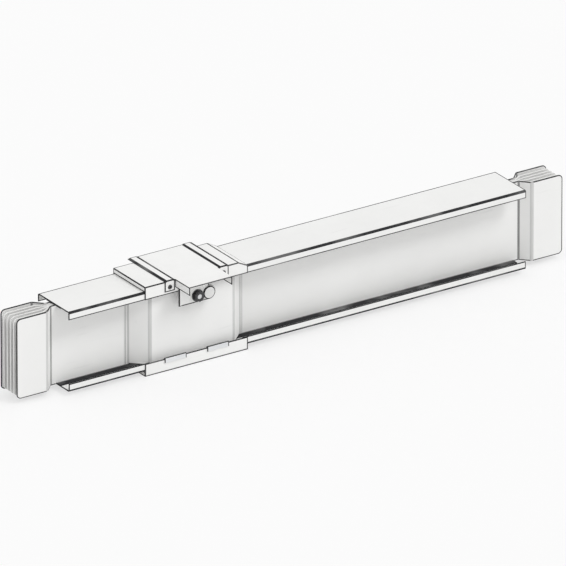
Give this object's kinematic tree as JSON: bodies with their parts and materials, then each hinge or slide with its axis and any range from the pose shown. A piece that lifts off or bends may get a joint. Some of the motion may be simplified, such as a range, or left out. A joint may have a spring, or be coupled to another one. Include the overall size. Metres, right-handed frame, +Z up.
{
  "type": "busway section",
  "caption": "Straight section of low-voltage busway: I-shaped sheet-steel casing, spread conductor ends on both sides, and a covered bolted joint near one end.",
  "frame": {"origin": "middle of the underside of the joint's bottom cover, the face that the section rests on, below the centre of the joint and on the casing's centre plane", "axes": "+X along the run towards the long end, +Y towards the back, -Y towards the side with the hood and latch bolt, +Z up"},
  "size_m": [1.626, 0.2336, 0.245],
  "materials": {
    "casing_paint": "off-white powder coat on steel sheet, fine texture",
    "side_paint": "off-white powder coat on steel sheet, fine texture",
    "cover_paint": "off-white powder coat on steel sheet, fine texture",
    "saddle_paint": "off-white powder coat on pressed steel",
    "conductor": "tin-plated aluminium bar, satin, with a thin insulating film in the closed stack",
    "splice_metal": "tin-plated aluminium plate",
    "insulator": "moulded glass-filled polyester",
    "zinc_plate": "zinc-plated steel",
    "bolt_steel": "black-oxide steel, oiled"
  },
  "bodies": {
    "root": {"casing_top_left": "casing_paint", "casing_top_right": "casing_paint", "casing_bottom_left": "casing_paint", "casing_bottom_right": "casing_paint", "side_plate_front_left": "side_paint", "side_plate_back_left": "side_paint", "side_plate_front_right": "side_paint", "side_plate_back_right": "side_paint", "bar_1_left": "conductor", "bar_2_left": "conductor", "bar_3_left": "conductor", "bar_4_left": "conductor", "bar_1_right": "conductor", "bar_2_right": "conductor", "bar_3_right": "conductor", "bar_4_right": "conductor", "splice_plates": "splice_metal", "joint_insulators": "insulator", "pressure_plate_front": "zinc_plate", "pressure_plate_back": "zinc_plate", "clamp_bolts": "bolt_steel", "clamp_nuts": "bolt_steel", "joint_side_front": "side_paint", "joint_side_back": "side_paint", "joint_cover_top": "cover_paint", "joint_cover_bottom": "cover_paint", "cover_clips": "zinc_plate", "saddle_plate": "saddle_paint", "saddle_screws": "bolt_steel", "latch_plate": "saddle_paint", "latch_washer": "bolt_steel", "latch_bolt": "bolt_steel", "latch_nut": "bolt_steel", "latch_disc": "saddle_paint"}
  },
  "joints": []
}
